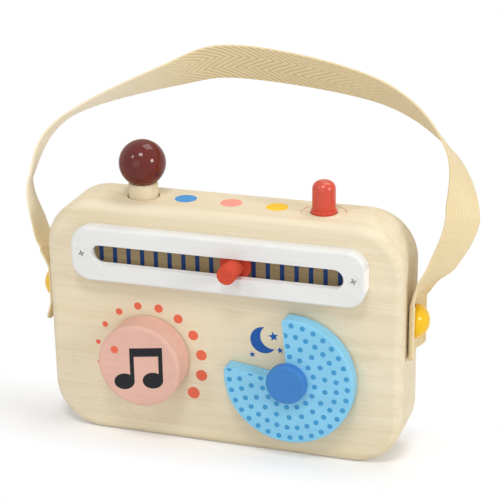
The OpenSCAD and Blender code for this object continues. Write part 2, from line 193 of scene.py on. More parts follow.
turnedWood = dict(bareWood, ringGap=2.4 * mm, warp=2.0, lean=0.08, ringDepth=0.22)
dowelGrain = dict(turnedWood, heart=(-49 * mm, 11 * mm, 150 * mm))
axleGrain = dict(turnedWood, heart=(0, 0, 40 * mm))
stainedGrain = dict(bareWood, light=(178, 157, 120), dark=(134, 113, 77), ringGap=3.0 * mm)
blockWood = woodFinish("block_wood", bareWood)
dowelWood = woodFinish("dowel_wood", dowelGrain, (0, math.pi / 2, 0))
axleWood = woodFinish("axle_wood", axleGrain, (0, 0, math.pi / 2))
stainedWood = woodFinish("stained_wood", stainedGrain)


# Paint over sanded wood: the grain shows through as faint streaks

paintCoat = {
    "streakDetail": 3.0, "streakRough": 0.55, "cloud": ((55, 55, 55), 2.0, 0.5),
    "peel": ((1500, 1500, 1500), 2.0, 0.5), "tone": (0.0, 0.5), "smoother": 0.05, "rougher": 0.06,
    "coatRough": 0.06, "streakShare": 0.7, "peelShare": 0.3, "bump": 0.15 * mm,
}
paints = {
    "white_paint": {"colour": (235, 235, 232), "rough": 0.45, "depth": 0.16, "fade": 0.035},
    "red_paint": {"colour": (217, 72, 47), "rough": 0.24, "grain": (300, 300, 30), "shine": 0.6},
    "slider_paint": {"colour": (214, 84, 64), "grain": (300, 30, 300), "shine": 0.0},
    "ball_lacquer": {"colour": (112, 34, 24), "rough": 0.3, "gloss": 0.7, "grain": (90, 90, 20),
                     "depth": 0.04, "fade": 0.16, "shine": 0.0},
    "pink_paint": {"colour": (235, 187, 170), "rough": 0.45},
    "sky_paint": {"colour": (140, 209, 242), "rough": 0.45},
    "blue_paint": {"colour": (70, 133, 203), "shine": 0.15},
    "yellow_paint": {"colour": (253, 200, 22), "rough": 0.32, "gloss": 0.35, "shine": 0.1},
}


def paintFinish(name, colour, rough=0.4, gloss=0.0, grain=(25, 420, 420), depth=0.1, fade=0.06, shine=0.25):
    finish, tree, shader = newFinish(name)
    coat = paintCoat
    streaks = objectNoise(tree, grain, coat["streakDetail"], coat["streakRough"])
    cloud = objectNoise(tree, *coat["cloud"])
    peel = objectNoise(tree, *coat["peel"])
    deep = tint(*[c * (1 - fade) for c in colour])
    amount = mathNode(tree, "ADD", spread(tree, streaks, *coat["tone"]), spread(tree, cloud, *coat["tone"]))
    tree.links.new(mixColours(tree, amount, tint(*colour), deep), shader.inputs["Base Color"])
    uneven = spread(tree, cloud, rough - coat["smoother"], rough + coat["rougher"])
    tree.links.new(uneven, shader.inputs["Roughness"])
    shader.inputs["Specular IOR Level"].default_value = shine
    shader.inputs["Coat Weight"].default_value = gloss
    shader.inputs["Coat Roughness"].default_value = coat["coatRough"]
    height = mathNode(tree, "ADD", mathNode(tree, "MULTIPLY", streaks, coat["streakShare"]),
                      mathNode(tree, "MULTIPLY", peel, coat["peelShare"]))
    addBump(tree, shader, height, depth, coat["bump"])
    return finish


paint = {name: paintFinish(name, **settings) for name, settings in paints.items()}
print("finishes made")


# Printed inks: the wood below still shows a little

inkCoat = {
    "grain": ((40, 700, 700), 3.0, 0.6), "grainTone": (0.0, 0.5),
    "speckle": ((900, 900, 900), 2.0, 0.6), "speckleTone": (0.0, 0.35),
    "paler": 0.06, "rough": (0.45, 0.58), "shine": 0.15, "bump": (0.1, 0.05 * mm),
}
inkColours = {
    "coral": (233, 108, 79), "navy": (24, 56, 112), "weather": (32, 88, 166), "black": (30, 31, 34),
    "blue": (66, 146, 213), "rose": (247, 154, 137), "yellow": (254, 200, 40), "deep_sky": (64, 150, 203),
}


def inkFinish(name, colour):
    finish, tree, shader = newFinish(name)
    grain = objectNoise(tree, *inkCoat["grain"])
    speckle = objectNoise(tree, *inkCoat["speckle"])
    amount = mathNode(tree, "ADD", spread(tree, grain, *inkCoat["grainTone"]),
                      spread(tree, speckle, *inkCoat["speckleTone"]))
    paler = tint(*[c + (255 - c) * inkCoat["paler"] for c in colour])
    tree.links.new(mixColours(tree, amount, tint(*colour), paler), shader.inputs["Base Color"])
    tree.links.new(spread(tree, speckle, *inkCoat["rough"]), shader.inputs["Roughness"])
    shader.inputs["Specular IOR Level"].default_value = inkCoat["shine"]
    addBump(tree, shader, grain, *inkCoat["bump"])
    return finish


inks = {ink: inkFinish(ink + "_ink", colour) for ink, colour in inkColours.items()}
inks["stain"] = stainedWood
film = {"sunk": 0.02 * mm, "proud": 0.05 * mm, "smoothAngle": 20}
toFront = Matrix.Rotation(math.pi / 2, 4, "X")   # drawn flat, then stood up to face the viewer


def laidAt(x, y, turn):
    return Matrix.Translation((x, y, 0)) @ Matrix.Rotation(turn, 4, "Z")


def pressFilm(bm, verts, place):
    # gives a flat drawn shape the thickness of its ink and lays it on its surface
    faces = list({f for v in verts for f in v.link_faces})
    raised = bmesh.ops.extrude_face_region(bm, geom=faces)["geom"]
    risen = [g for g in raised if isinstance(g, bmesh.types.BMVert)]
    bmesh.ops.translate(bm, verts=risen, vec=(0, 0, film["sunk"] + film["proud"]))
    bmesh.ops.translate(bm, verts=verts + risen, vec=(0, 0, -film["sunk"]))
    bmesh.ops.transform(bm, matrix=place, verts=verts + risen)


def drawDot(bm, place, x, y, radius, stretch=1.0, turn=0.0, segments=32):
    verts = bmesh.ops.create_circle(bm, cap_ends=True, segments=segments, radius=radius)["verts"]
    shape = laidAt(x, y, turn) @ Matrix.Diagonal((stretch, 1, 1, 1))
    bmesh.ops.transform(bm, matrix=shape, verts=verts)
    pressFilm(bm, verts, place)


def drawOutline(bm, place, points):
    verts = [bm.verts.new((x, y, 0)) for x, y in points]
    bm.faces.new(verts)
    pressFilm(bm, verts, place)


def drawBar(bm, place, x, y, length, width, turn=0.0, segments=24):
    # bar with round ends: the halves of a circle move apart, and its top and bottom points stay
    verts = bmesh.ops.create_circle(bm, cap_ends=True, segments=segments, radius=width / 2)["verts"]
    for v in verts:
        if abs(v.co.x) > tiny:
            v.co.x += math.copysign((length - width) / 2, v.co.x)
    bmesh.ops.transform(bm, matrix=laidAt(x, y, turn), verts=verts)
    pressFilm(bm, verts, place)


def showFilm(name, bm, ink, body):
    bmesh.ops.recalc_face_normals(bm, faces=bm.faces)
    showPiece(name, bm, inks[ink], body, smoothAngle=film["smoothAngle"])


# Rigid pieces: the CAD shape with its hard edges eased

easing = {
    "body_block": 0.35 * mm, "dial_plate": 0.5 * mm, "weather_disc": 0.7 * mm, "button_bushing": 0.25 * mm,
    "hardAngle": 38, "flatAngle": 0.2, "segments": 3, "merge": 0.002 * mm, "sliver": 0.01 * mm,
}
# painted light on the slot's walls: its reach from the plate's middle height, how far a face turns from the
# front, and its near-white colour
slotWallLight = {"half": 5.5 * mm, "over": 0.6 * mm, "turned": (0.25, 0.8), "white": (254, 254, 252)}


def mergedCopy(node):
    bm = bmesh.new()
    bm.from_mesh(nodes[node].data)
    bmesh.ops.remove_doubles(bm, verts=bm.verts, dist=easing["merge"])
    return bm


def easedCopy(node, finish, body):
    bm = mergedCopy(node)
    flatAngle, hardAngle = math.radians(easing["flatAngle"]), math.radians(easing["hardAngle"])
    bmesh.ops.dissolve_limit(bm, angle_limit=flatAngle, verts=bm.verts, edges=bm.edges)
    hard = [e for e in bm.edges if len(e.link_faces) == 2 and e.calc_face_angle() > hardAngle]
    bmesh.ops.bevel(bm, geom=hard, offset=easing[node], offset_type="OFFSET", segments=easing["segments"],
                    profile=0.5, affect="EDGES", clamp_overlap=True, material=-1)
    bmesh.ops.remove_doubles(bm, verts=bm.verts, dist=easing["sliver"])
    bmesh.ops.dissolve_degenerate(bm, dist=easing["sliver"], edges=bm.edges)
    piece = showPiece(node + "_eased", bm, finish, body)
    evened = piece.modifiers.new("evened", "WEIGHTED_NORMAL")
    evened.keep_sharp = True
    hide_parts(node)


def paintSlotWallLight(finish):
    # painted light: the slot's walls, which lie in shade, are painted whiter than the rest of the plate
    tree = finish.node_tree
    shader = next(n for n in tree.nodes if n.type == "BSDF_PRINCIPLED")
    low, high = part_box("dial_plate")
    coords = addNode(tree, "ShaderNodeTexCoord")
    place = addNode(tree, "ShaderNodeSeparateXYZ")
    facing = addNode(tree, "ShaderNodeSeparateXYZ")
    tree.links.new(coords.outputs["Object"], place.inputs["Vector"])
    tree.links.new(coords.outputs["Normal"], facing.inputs["Vector"])
    aside = mathNode(tree, "ABSOLUTE", facing.outputs["Y"])
    fromMiddle = mathNode(tree, "SUBTRACT", place.outputs["Z"], (low.z + high.z) / 2)
    away = mathNode(tree, "ABSOLUTE", fromMiddle)
    wall = spread(tree, aside, 1.0, 0.0, *slotWallLight["turned"])
    near = spread(tree, away, 1.0, 0.0, slotWallLight["half"], slotWallLight["half"] + slotWallLight["over"])
    plain = shader.inputs["Base Color"].links[0].from_socket
    colour = mixColours(tree, mathNode(tree, "MULTIPLY", wall, near), plain, tint(*slotWallLight["white"]))
    tree.links.new(colour, shader.inputs["Base Color"])


easedCopy("body_block", blockWood, "block")
easedCopy("dial_plate", paint["white_paint"], "block")
paintSlotWallLight(paint["white_paint"])
easedCopy("weather_disc", paint["sky_paint"], "weather")
easedCopy("button_bushing", blockWood, "block")
print("eased pieces made")


# Finishes of the CAD nodes that keep their shape

# noise: scale, detail and roughness; bump: strength and depth
woolFelt = {"shades": ((196, 184, 158), (222, 211, 187)), "noise": ((1400, 1400, 1400), 4.0, 0.7),
            "rough": 0.95, "bump": (0.4, 0.2 * mm)}
blackRubber = {"shades": ((30, 30, 31), (48, 47, 46)), "noise": ((300, 300, 300), 3.0, 0.6),
               "rough": 0.7, "bump": (0.1, 0.1 * mm)}
springWire = {"shades": ((176, 178, 182), (200, 202, 205)), "noise": ((200, 200, 2500), 3.0, 0.6),
              "rough": (0.25, 0.4)}
# the screws' cross recess gets painted shade: grey from its first depth, full at its second
whiteScrew = {"shades": ((236, 236, 233), (222, 221, 217)), "noise": ((800, 800, 800), 3.0, 0.6),
              "rough": 0.42, "cross": (196, 200, 202), "recessShadeFrom": 0.25 * mm, "recessShadeFull": 0.6 * mm}


def mottledFinish(name, settings):
    # two shades by one noise, which also raises the surface
    finish, tree, shader = newFinish(name)
    mottle = objectNoise(tree, *settings["noise"])
    first, second = settings["shades"]
    tree.links.new(mixColours(tree, mottle, tint(*first), tint(*second)), shader.inputs["Base Color"])
    shader.inputs["Roughness"].default_value = settings["rough"]
    addBump(tree, shader, mottle, *settings["bump"])
    return finish


def wireFinish():
    finish, tree, shader = newFinish("spring_wire")
    drawn = objectNoise(tree, *springWire["noise"])
    first, second = springWire["shades"]
    tree.links.new(mixColours(tree, drawn, tint(*first), tint(*second)), shader.inputs["Base Color"])
    tree.links.new(spread(tree, drawn, *springWire["rough"]), shader.inputs["Roughness"])
    shader.inputs["Metallic"].default_value = 1.0
    return finish


def screwFinish():
    # white paint, with painted shade down in the cross: grey mixed in the deeper it lies
    finish, tree, shader = newFinish("white_screw")
    coords = addNode(tree, "ShaderNodeTexCoord")
    split = addNode(tree, "ShaderNodeSeparateXYZ")
    tree.links.new(coords.outputs["Object"], split.inputs["Vector"])
    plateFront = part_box("dial_plate")[0].y
    # painted shade: the deeper a point lies in the cross, the greyer
    depth = spread(tree, split.outputs["Y"], 0.0, 1.0,
                   plateFront + whiteScrew["recessShadeFrom"], plateFront + whiteScrew["recessShadeFull"])
    grime = spread(tree, objectNoise(tree, *whiteScrew["noise"]), 0.0, 1.0)
    first, second = whiteScrew["shades"]
    coat = mixColours(tree, grime, tint(*first), tint(*second))
    tree.links.new(mixColours(tree, depth, coat, tint(*whiteScrew["cross"])), shader.inputs["Base Color"])
    shader.inputs["Roughness"].default_value = whiteScrew["rough"]
    return finish


felt = mottledFinish("wool_felt", woolFelt)
nodeFinishes = {
    "dial_plate_screws": screwFinish(), "slider_peg": paint["slider_paint"],
    "volume_knob": paint["pink_paint"], "volume_axle": axleWood, "volume_washer": felt,
    "weather_hub": paint["blue_paint"], "weather_axle": axleWood, "weather_washer": felt,
    "antenna_dowel": dowelWood, "antenna_ball": paint["ball_lacquer"], "antenna_stop_pin": axleWood,
    "antenna_grip_ring": mottledFinish("black_rubber", blackRubber), "push_button": paint["red_paint"],
    "strap_button_left": paint["yellow_paint"], "strap_button_right": paint["yellow_paint"],
}
for name, finish in nodeFinishes.items():
    nodes[name].data.materials.clear()
    nodes[name].data.materials.append(finish)
print("CAD finishes set")


# Spring under the button, copied into a mesh of its own; in the toy it shortens as the button goes down

spring = {"travel": 10 * mm, "smoothAngle": 50}
coil = showPiece("spring_coil", mergedCopy("button_spring"), wireFinish(), "block",
                 spring["smoothAngle"])
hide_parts("button_spring")
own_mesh(coil)


# Three coloured dots on the top

topDots = {"radius": 6.0 * mm, "back": 0.8 * mm, "segments": 48,
           "dots": (("blue", -24.9 * mm), ("rose", 0.9 * mm), ("yellow", 26.5 * mm))}
blockLow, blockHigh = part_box("body_block")
onTop = Matrix.Translation((0, 0, blockHigh.z))
for ink, x in topDots["dots"]:
    bm = bmesh.new()
    drawDot(bm, onTop, x, topDots["back"], topDots["radius"], segments=topDots["segments"])
    showFilm("top_dot_" + ink, bm, ink, "block")


# Growing dots round the volume knob

onBlock = Matrix.Translation((0, blockLow.y, 0)) @ toFront
scaleDots = {"count": 11, "x": -41.6 * mm, "z": 47.5 * mm, "ring": 30.8 * mm, "first": 191.2, "step": 22.63,
             "small": 2.0 * mm, "large": 6.9 * mm, "growth": 0.8}
bm = bmesh.new()
for k in range(scaleDots["count"]):
    share = k / (scaleDots["count"] - 1)
    a = math.radians(scaleDots["first"] - scaleDots["step"] * k)
    size = scaleDots["small"] + (scaleDots["large"] - scaleDots["small"]) * share ** scaleDots["growth"]
    x = scaleDots["x"] + scaleDots["ring"] * math.cos(a)
    z = scaleDots["z"] + scaleDots["ring"] * math.sin(a)
    drawDot(bm, onBlock, x, z, size / 2)
showFilm("scale_dots", bm, "coral", "block")


# Tuner scale in the slot: stained wood with navy stripes

tuner = {
    "length": 142.0 * mm, "height": 16.6 * mm,
    "count": 18, "first": -67.1 * mm, "step": 7.856 * mm, "wide": 2.4 * mm,
    # towards the round ends the stripes are shorter
    "roundFrom": 62.7 * mm, "roundOver": 8.8 * mm, "shortest": 0.1, "margin": 0.6 * mm,
}
plateLow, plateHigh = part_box("dial_plate")
plateZ = (plateLow.z + plateHigh.z) / 2
bm = bmesh.new()
drawBar(bm, onBlock, 0, plateZ, tuner["length"], tuner["height"])
showFilm("tuner_ground", bm, "stain", "block")
bm = bmesh.new()
onGround = Matrix.Translation((0, -film["proud"], 0)) @ onBlock
half = tuner["wide"] / 2
for k in range(tuner["count"]):
    x = tuner["first"] + tuner["step"] * k
    past = max(0, (abs(x) + half - tuner["roundFrom"]) / tuner["roundOver"])
    high = tuner["height"] / 2 * math.sqrt(max(tuner["shortest"], 1 - past ** 2)) - tuner["margin"]
    drawOutline(bm, onGround, [(x - half, plateZ - high), (x + half, plateZ - high),
                               (x + half, plateZ + high), (x - half, plateZ + high)])
showFilm("tuner_stripes", bm, "navy", "block")


# Rings of dots on the weather disc, trimmed at the window's edges

discDots = {
    "size": 2.9 * mm, "segments": 24, "windowFrom": 95.0, "windowTo": 172.0,
    # radius of the ring, dots, angle of the first dot and step to the next
    "rings": ((14.9 * mm, 13, 85.1, 22.2), (20.8 * mm, 15, 89.7, 19.75),
              (26.8 * mm, 24, 92.4, 12.23), (32.7 * mm, 26, 86.2, 10.9)),
}
discLow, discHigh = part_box("weather_disc")
discAt = (discLow + discHigh) / 2
bm = bmesh.new()
for ring, count, first, step in discDots["rings"]:
    for k in range(count):
        a = math.radians(first - step * k)
        verts = bmesh.ops.create_circle(bm, cap_ends=True, segments=discDots["segments"],
                                        radius=discDots["size"] / 2)["verts"]
        bmesh.ops.translate(bm, verts=verts, vec=(ring * math.cos(a), ring * math.sin(a), 0))
for angle, side in ((discDots["windowFrom"], -1), (discDots["windowTo"], 1)):
    # only what lies beside this edge is trimmed by it
    a = math.radians(angle)
    along = Vector((math.cos(a), math.sin(a), 0))
    inward = Vector((-math.sin(a), math.cos(a), 0)) * side
    near = [f for f in bm.faces if abs(f.calc_center_median().dot(inward)) < discDots["size"]
            and f.calc_center_median().dot(along) > 0]
    geom = list({g for f in near for g in [f, *f.edges, *f.verts]})
    bmesh.ops.bisect_plane(bm, geom=geom, dist=tiny, plane_co=inward * easing["weather_disc"],
                           plane_no=inward, clear_inner=True)
loose = [v for v in bm.verts if not v.link_faces]
bmesh.ops.delete(bm, geom=loose, context="VERTS")
onDisc = Matrix.Translation((discAt.x, discLow.y, discAt.z)) @ toFront
pressFilm(bm, list(bm.verts), onDisc)
showFilm("disc_dots", bm, "deep_sky", "weather")


# Weather signs on the block behind the disc, one for each quarter turn of the window

signs = {
    "reach": 22.5 * mm, "quarters": {"moon": 131, "sun": 41, "flake": -49, "wind": -139},
    "moonAt": (-1.0 * mm, 1.5 * mm), "moonTurn": 25,
    # right and up from the quarter's middle, and the size
    "stars": ((4.4 * mm, 4.2 * mm, 2.9 * mm), (8.0 * mm, -3.4 * mm, 2.0 * mm),
              (-7.6 * mm, -7.6 * mm, 1.9 * mm)),
    "starTurn": 0.2,
    "sun": 4.6 * mm, "rays": 8, "ray": 3.4 * mm, "rayWidth": 1.3 * mm, "rayGap": 1.1 * mm,
    "flake": 0.9 * mm, "arms": 6, "arm": 4.4 * mm, "armWidth": 1.2 * mm, "armFrom": 1.6 * mm, "armTurn": 30,
    # right and up from the quarter's middle, and the length
    "gusts": ((-1.5 * mm, 4.2 * mm, 13 * mm), (1.5 * mm, 0.0, 16 * mm), (-2.5 * mm, -4.2 * mm, 10 * mm)),
    "gustWidth": 1.6 * mm,
}
crescent = {"radius": 7.6 * mm, "segments": 56, "tip": 62, "hollow": 74}
star = {"points": 5, "notch": 0.45}


def drawMoon(bm, place, x, y, turn):
    # crescent: the near half of a circle is pushed in to a flatter arc between the same two tips
    radius = crescent["radius"]
    verts = bmesh.ops.create_circle(bm, cap_ends=True, segments=crescent["segments"], radius=radius)["verts"]
    tip, hollow = math.radians(crescent["tip"]), math.radians(crescent["hollow"])
    inner = radius * math.sin(tip) / math.sin(hollow)
    middle = radius * math.cos(tip) + inner * math.cos(hollow)
    for v in verts:
        a = math.atan2(v.co.y, v.co.x)
        if abs(a) < tip:
            b = a / tip * hollow
            v.co.x = middle - inner * math.cos(b)
            v.co.y = inner * math.sin(b)
    bmesh.ops.transform(bm, matrix=laidAt(x, y, turn), verts=verts)
    pressFilm(bm, verts, place)


def drawStar(bm, place, x, y, radius, turn):
    points = []
    for k in range(2 * star["points"]):
        a = turn + math.radians(180 / star["points"] * k + 90)
        r = radius * (star["notch"] if k % 2 else 1.0)
        points.append((x + r * math.cos(a), y + r * math.sin(a)))
    drawOutline(bm, place, points)


def drawSpokes(bm, place, x, y, count, start, length, width, turn=0):
    for k in range(count):
        a = math.radians(360 / count * k + turn)
        far = start + length / 2
        drawBar(bm, place, x + far * math.cos(a), y + far * math.sin(a), length, width, a)


quarter = {}
for sign, angle in signs["quarters"].items():
    a = math.radians(angle)
    quarter[sign] = (discAt.x + signs["reach"] * math.cos(a), discAt.z + signs["reach"] * math.sin(a))
bm = bmesh.new()
x, y = quarter["moon"]
moonRight, moonUp = signs["moonAt"]
drawMoon(bm, onBlock, x + moonRight, y + moonUp, math.radians(signs["moonTurn"]))
for right, up, size in signs["stars"]:
    drawStar(bm, onBlock, x + right, y + up, size, signs["starTurn"])
x, y = quarter["sun"]
drawDot(bm, onBlock, x, y, signs["sun"])
drawSpokes(bm, onBlock, x, y, signs["rays"], signs["sun"] + signs["rayGap"], signs["ray"],
           signs["rayWidth"])
x, y = quarter["flake"]
drawDot(bm, onBlock, x, y, signs["flake"])
drawSpokes(bm, onBlock, x, y, signs["arms"], signs["armFrom"], signs["arm"], signs["armWidth"],
           signs["armTurn"])
x, y = quarter["wind"]
for right, up, length in signs["gusts"]:
    drawBar(bm, onBlock, x + right, y + up, length, signs["gustWidth"])
showFilm("weather_signs", bm, "weather", "block")


# Music notes on the knob, with a coral mark beside them

notes = {
    "left": (-8.3 * mm, -9.6 * mm), "right": (8.3 * mm, -7.0 * mm), "head": 4.6 * mm, "headSegments": 40,
    "stretch": 1.32, "tilt": 0.32, "side": 3.5 * mm, "stem": 2.4 * mm, "top": 10.4 * mm, "beam": 5.0 * mm,
    "slope": 0.3 * mm, "mark": 2.2 * mm, "markAt": (-13.4 * mm, 8.6 * mm),
}
knobLow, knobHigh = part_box("volume_knob")
knobAt = (knobLow + knobHigh) / 2
onKnob = Matrix.Translation((knobAt.x, knobLow.y, knobAt.z)) @ toFront
leftX, leftY = notes["left"]
rightX, rightY = notes["right"]
leftStem, rightStem = leftX + notes["side"], rightX + notes["side"]
stem, top, rise = notes["stem"], notes["top"], rightY - leftY
bm = bmesh.new()
drawOutline(bm, onKnob, [
    (leftStem, leftY), (leftStem + stem, leftY),
    (leftStem + stem, top - notes["beam"] + notes["slope"]),
    (rightStem, top + rise - notes["beam"] - notes["slope"]),
    (rightStem, rightY), (rightStem + stem, rightY),
    (rightStem + stem, top + rise), (leftStem, top)])
overStems = Matrix.Translation((0, -film["proud"] / 2, 0)) @ onKnob
for x, y in (notes["left"], notes["right"]):
    drawDot(bm, overStems, x, y, notes["head"], notes["stretch"], notes["tilt"], notes["headSegments"])
showFilm("knob_notes", bm, "black", "volume")
bm = bmesh.new()
drawDot(bm, onKnob, *notes["markAt"], notes["mark"])
showFilm("knob_mark", bm, "coral", "volume")
print("prints made")


# Webbing strap

strap = {
    "width": 25 * mm, "thick": 1.0 * mm, "tail": 19 * mm, "cornerR": 3.5 * mm,
    "hole": 4.6 * mm, "holeReach": 1 * mm,
    "pegZ": 79 * mm, "sideX": 101.3 * mm, "lean": 64 * mm, "rise": 117 * mm,
    "hold": 11.1 * mm, "holdOut": 0.25 * mm, "steps": 24, "across": 26, "crown": 0.1 * mm,
    # shares of side, lean and rise, and the twist in degrees
    "loop": ((1.02, 0.00, 0.13, -5), (1.06, -0.01, 0.19, -14), (1.15, -0.01, 0.29, -30),
             (1.22, 0.19, 0.49, -32), (1.10, 0.55, 0.72, 17), (0.68, 0.85, 0.92, 46),
             (-0.12, 0.97, 1.00, 60), (-0.52, 0.83, 0.93, 38), (-1.06, 0.48, 0.74, 5),
             (-1.18, 0.13, 0.50, -19), (-1.12, 0.05, 0.27, -11), (-1.065, 0.02, 0.18, -9),
             (-1.032, 0.00, 0.14, -5)),
    # the long edges turn up beside the pegs' heads: near edge, far edge, and where that is gone above the peg
    "cupRight": (3.0 * mm, 4.2 * mm, 39 * mm), "cupLeft": (0.9 * mm, 0.4 * mm, 18 * mm),
    "cupFrom": 0.70, "cupFull": 8 * mm, "cupCurve": 1.5,
    # the left tail stands off the block towards its end
    "flare": 3.6 * mm, "flareOver": 12 * mm, "flareCurve": 1.3,
    "softEdge": 0.35 * mm, "softSegments": 2, "softAngle": 50, "smoothAngle": 60,
}


def strapRows():
    # middle, across and outward directions of the webbing along its route
    ends = []
    for up in (-strap["tail"], 0, strap["hold"]):
        out = strap["sideX"] + (strap["holdOut"] if up > 0 else 0)
        ends.append(Vector((out, 0, strap["pegZ"] + up, 0)))
    loop = []
    for side, lean, rise, twist in strap["loop"]:
        height = strap["pegZ"] + rise * strap["rise"]
        loop.append(Vector((side * strap["sideX"], lean * strap["lean"], height, math.radians(twist))))
    far = [Vector((-e.x, e.y, e.z, 0)) for e in reversed(ends)]
    route = ends + loop + far
    route = [2 * route[0] - route[1]] + route + [2 * route[-1] - route[-2]]
    rows = []
    for i in range(1, len(route) - 2):
        # smooth curve through the route's points
        a, b, c, d = route[i - 1:i + 3]
        square, cube = 2 * a - 5 * b + 4 * c - d, 3 * b - a - 3 * c + d
        for k in range(strap["steps"] + (i == len(route) - 3)):
            t = k / strap["steps"]
            p = 0.5 * (2 * b + (c - a) * t + square * t * t + cube * t ** 3)
            v = 0.5 * (c - a + 2 * square * t + 3 * cube * t * t)
            along = v.xyz.normalized()
            level = (Vector((0, 1, 0)) - along.y * along).normalized()
            wide = math.cos(p.w) * level + math.sin(p.w) * along.cross(level)
            rows.append((p.xyz, wide, wide.cross(along)))
    return rows


def strapLift(side, half, fromEnd, onRight):
    # how far the webbing stands off its route here: crown, turned-up edge and flared tail
    nearCup, farCup, cupGone = strap["cupRight" if onRight else "cupLeft"]
    past = min(1.0, max(0.0, (cupGone - fromEnd + strap["tail"]) / (cupGone - strap["cupFull"])))
    edge = max(0.0, (abs(side) * half * 2 / strap["width"] - strap["cupFrom"]) / (1 - strap["cupFrom"]))
    cup = (farCup if side > 0 else nearCup) * past * past * (3 - 2 * past) * edge ** strap["cupCurve"]
    flare = 0.0
    if not onRight:
        flare = strap["flare"] * max(0.0, 1 - fromEnd / strap["flareOver"]) ** strap["flareCurve"]
    return strap["crown"] * (1 - side * side) + cup + flare


def makeStrap(outer, inner, selvedge):
    rows = strapRows()
    lengths = [0.0]
    for a, b in zip(rows, rows[1:]):
        lengths.append(lengths[-1] + (b[0] - a[0]).length)
    total = lengths[-1]
    bm = bmesh.new()
    bmesh.ops.create_grid(bm, x_segments=strap["across"], y_segments=len(rows) - 1, size=0.5)
    uvLayer = bm.loops.layers.uv.new("webbing")
    flat = {}
    r = strap["cornerR"]
    for v in bm.verts:
        side = 2 * (v.co.x + 0.5) - 1
        row = round((v.co.y + 0.5) * (len(rows) - 1))
        middle, wide, out = rows[row]
        fromEnd = min(lengths[row], total - lengths[row])
        half = strap["width"] / 2 - (r - math.sqrt(r * r - (r - fromEnd) ** 2) if fromEnd < r else 0)
        v.co = middle + wide * half * side + out * strapLift(side, half, fromEnd, middle.x > 0)
        flat[v] = (0.5 + side * half / strap["width"], lengths[row] / strap["width"])
    for face in bm.faces:
        for corner in face.loops:
            corner[uvLayer].uv = flat[corner.vert]
    holes = []
    for f in bm.faces:
        at = f.calc_center_median()
        byBlock = abs(at.x) < strap["sideX"] + strap["holeReach"]
        if byBlock and math.hypot(at.y, at.z - strap["pegZ"]) < strap["hole"]:
            holes.append(f)
    bmesh.ops.delete(bm, geom=holes, context="FACES")
    piece = showPiece("webbing_strap", bm, outer, "strap", strap["smoothAngle"])
    piece.data.materials.append(inner)
    piece.data.materials.append(selvedge)
    thick = piece.modifiers.new("thick", "SOLIDIFY")
    thick.thickness = strap["thick"]
    thick.offset = 0
    thick.material_offset = 1
    thick.material_offset_rim = 2
    soft = piece.modifiers.new("soft", "BEVEL")
    soft.width = strap["softEdge"]
    soft.segments = strap["softSegments"]
    soft.limit_method = "ANGLE"
    soft.angle_limit = math.radians(strap["softAngle"])
    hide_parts("strap")
    print("strap length, mm:", round(total / mm, 1))


weave = {
    # the third colour is the painted sheen: the pale cream that the left part of the loop is mixed towards
    "light": (246, 230, 190), "dark": (212, 185, 130), "paintedSheenColour": (252, 244, 226),
    "bands": 3, "ribs": 5.2, "slant": 3.0, "worn": 0.3, "calmest": 0.15,
    # lengths in strap widths: where the ribs lose their depth to the right and to the left of the loop's top,
    # and where the painted sheen fades out
    "rightFade": (6.6, 9.6), "leftFade": (11.2, 13.2), "paintedSheenGone": (16.4, 17.6),
    "pickSpan": (-0.1, 1.0), "fuzz": ((1800, 1800, 1800), 3.0, 0.65), "fuzzDepth": 0.15,
    "wash": ((40, 40, 40), 2.0, 0.5), "washTone": (-0.06, 0.06),
    # painted shade: the weave's low places take the dark colour, its high places the light one
    "low": 0.95, "high": 0.1, "heightSpan": (-0.8, 0.8),   # darkening at the weave's low and high places
    "rough": 0.9, "sheen": 0.25, "sheenRough": 0.4, "bump": (0.5, 0.3 * mm),
}
# paler lifts a face's colour towards the light one; the inner face takes the most, painted light on the
# loop's underside, which lies in shade
webbingFaces = {
    "webbing_outer": {"ribDepth": 0.05, "plainDepth": 0.34, "paler": 0.07,
                      "paintedSheenShare": 0.2, "yarns": 11, "picks": 18},
    "webbing_inner": {"ribDepth": 0.9, "plainDepth": 0.15, "paler": 0.27,
                      "paintedSheenShare": 0.6, "yarns": 30, "picks": 40},
    "webbing_edge": {"ribDepth": 0.0, "plainDepth": 0.2, "paler": 0.15,
                     "paintedSheenShare": 0.4, "yarns": 30, "picks": 40},
}


